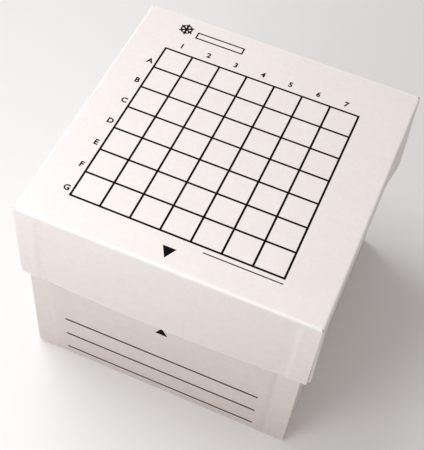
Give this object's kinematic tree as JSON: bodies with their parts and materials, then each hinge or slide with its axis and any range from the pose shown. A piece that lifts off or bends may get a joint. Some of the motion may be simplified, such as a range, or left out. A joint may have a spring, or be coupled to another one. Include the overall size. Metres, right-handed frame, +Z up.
{
  "type": "cryogenic storage box",
  "caption": "Square freezer storage box of white folded board with a telescoping lift-off lid and a lift-out divider of slotted strips for upright sample tubes.",
  "frame": {"origin": "centre of the tray's underside, which is the bottom centre of the closed box's bounding box", "axes": "+Z up, out of the lid; -Y is the front, the side with the write-on lines; +X is to the right as seen from the front"},
  "size_m": [0.133, 0.133, 0.1115],
  "materials": {
    "coated_board": "satin",
    "divider_board": "matte",
    "glue": "satin",
    "black_ink": "matte",
    "grey_ink": "matte"
  },
  "bodies": {
    "base": {"base_tray": "coated_board", "base_glue_seams": "glue"},
    "divider": {"row_divider_1": "divider_board", "row_divider_2": "divider_board", "row_divider_3": "divider_board", "row_divider_4": "divider_board", "row_divider_5": "divider_board", "row_divider_6": "divider_board", "column_divider_1": "divider_board", "column_divider_2": "divider_board", "column_divider_3": "divider_board", "column_divider_4": "divider_board", "column_divider_5": "divider_board", "column_divider_6": "divider_board"},
    "lid": {"lid_cover": "coated_board", "lid_glue_seams": "glue"}
  },
  "joints": [
    {"name": "divider_lift", "type": "slide", "parent": "base", "child": "divider", "axis": [0, 0, 1], "range_m": [0, 0.115]},
    {"name": "lid_lift", "type": "slide", "parent": "divider", "child": "lid", "axis": [0, 0, 1], "range_m": [0, 0.12]}
  ]
}
